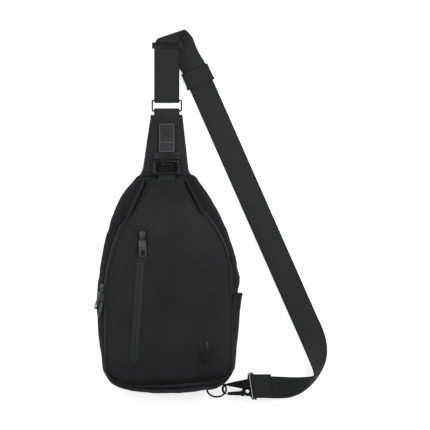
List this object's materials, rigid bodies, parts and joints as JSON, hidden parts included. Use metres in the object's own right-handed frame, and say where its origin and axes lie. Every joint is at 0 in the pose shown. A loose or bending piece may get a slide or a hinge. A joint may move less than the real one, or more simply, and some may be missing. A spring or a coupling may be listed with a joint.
{
  "type": "sling bag",
  "caption": "Soft teardrop sling bag lying on its back, with a fold-down upper front panel, zipped pockets, side slip pocket, neck clasp and a webbing shoulder strap that clips to a ring",
  "frame": {"origin": "middle of the back panel's resting face", "axes": "+X to the bag's right seen from its front, +Y up to the neck, +Z out of the front"},
  "size_m": [0.2915, 0.4633, 0.062],
  "materials": {
    "panel_cloth": "matte smooth nylon",
    "side_cloth": "matte nylon",
    "padded_cloth": "matte padded nylon",
    "foam": "matte foam",
    "lining": "matte lining cloth",
    "webbing": "woven webbing",
    "patch_webbing": "woven webbing",
    "zip_tape": "woven zip tape",
    "zip_teeth": "satin coil",
    "zip_metal": "gunmetal",
    "black_metal": "satin black"
  },
  "bodies": {
    "bag": {"back_pad": "foam", "back_panel": "padded_cloth", "badge_plate": "black_metal", "clasp_webbing": "patch_webbing", "clip_body": "black_metal", "clip_pin": "black_metal", "front_panel": "panel_cloth", "hook_plate": "black_metal", "hook_tongue": "black_metal", "inner_sleeve": "lining", "main_zip_tape": "zip_tape", "main_zip_teeth": "zip_teeth", "neck_loop": "side_cloth", "neck_ring": "black_metal", "neck_yoke": "padded_cloth", "pocket_bar_bottom": "webbing", "pocket_bar_top": "webbing", "pocket_hem": "webbing", "pocket_lining": "lining", "pocket_tape_left": "zip_tape", "pocket_tape_right": "zip_tape", "rear_gusset": "side_cloth", "ring_tab": "webbing", "side_pocket": "side_cloth", "strap_back_layer": "webbing", "strap_clip_turn": "webbing", "strap_corner": "webbing", "strap_diagonal": "webbing", "strap_end": "webbing", "strap_fold": "webbing", "strap_front_layer": "webbing", "strap_ring_turn": "webbing", "strap_upper": "webbing"},
    "flap": {"flap_panel": "panel_cloth", "clasp_tab": "webbing"},
    "clasp": {"clasp_frame": "black_metal"},
    "pocket_runner": {"pocket_slider": "zip_metal"},
    "pocket_pull": {"pocket_puller": "zip_metal"},
    "upper_runner": {"main_slider_upper": "zip_metal"},
    "upper_pull": {"main_puller_upper": "zip_metal"},
    "lower_runner": {"main_slider_lower": "zip_metal"},
    "lower_pull": {"main_puller_lower": "zip_metal"},
    "strap_adjuster": {"adjuster": "black_metal"},
    "strap_keeper": {"keeper": "webbing"},
    "gate": {"clip_gate": "black_metal"},
    "ring": {"bottom_ring": "black_metal"}
  },
  "joints": [
    {"name": "flap_fold", "type": "hinge", "parent": "bag", "child": "flap", "pos_m": [0, 0.074, 0.06], "axis": [1, 0, 0], "range_deg": [0, 110]},
    {"name": "clasp_swing", "type": "hinge", "parent": "flap", "child": "clasp", "pos_m": [-0.0016, 0.1397, 0.022], "axis": [1, 0, 0], "range_deg": [0, 100]},
    {"name": "pocket_zip", "type": "slide", "parent": "bag", "child": "pocket_runner", "axis": [-0.0693, -0.9976, 0], "range_m": [0, 0.142]},
    {"name": "pocket_pull_flip", "type": "hinge", "parent": "pocket_runner", "child": "pocket_pull", "pos_m": [-0.03175, 0.05573, 0.06051], "axis": [-0.9969, -0.0789, 0], "range_deg": [0, 100]},
    {"name": "upper_zip", "type": "hinge", "parent": "bag", "child": "upper_runner", "pos_m": [0.12525, -0.01504, 0.04634], "axis": [0, 0, -1], "range_deg": [0, 12]},
    {"name": "upper_pull_flip", "type": "hinge", "parent": "upper_runner", "child": "upper_pull", "pos_m": [-0.08384, -0.00829, 0.04821], "axis": [-0.5067, 0.4482, -0.7365], "range_deg": [0, 90]},
    {"name": "lower_zip", "type": "slide", "parent": "bag", "child": "lower_runner", "axis": [0.0068, -1, 0], "range_m": [0, 0.044]},
    {"name": "lower_pull_flip", "type": "hinge", "parent": "lower_runner", "child": "lower_pull", "pos_m": [-0.08184, -0.02106, 0.04644], "axis": [-0.5675, 0.3503, -0.7451], "range_deg": [0, 90]},
    {"name": "adjuster_slide", "type": "slide", "parent": "bag", "child": "strap_adjuster", "axis": [0, -1, 0], "range_m": [0, 0.045]},
    {"name": "keeper_slide", "type": "slide", "parent": "bag", "child": "strap_keeper", "axis": [0.4038, -0.9148, 0], "range_m": [0, 0.15]},
    {"name": "gate_press", "type": "hinge", "parent": "bag", "child": "gate", "pos_m": [0.0934, -0.1356, 0.0116], "axis": [0, 0, -1], "range_deg": [0, 14], "stiffness_Nm_per_rad": 0.05},
    {"name": "ring_swing", "type": "hinge", "parent": "bag", "child": "ring", "pos_m": [0.06075, -0.12141, 0.00389], "axis": [1, 0, 0], "range_deg": [-2, 2]}
  ]
}
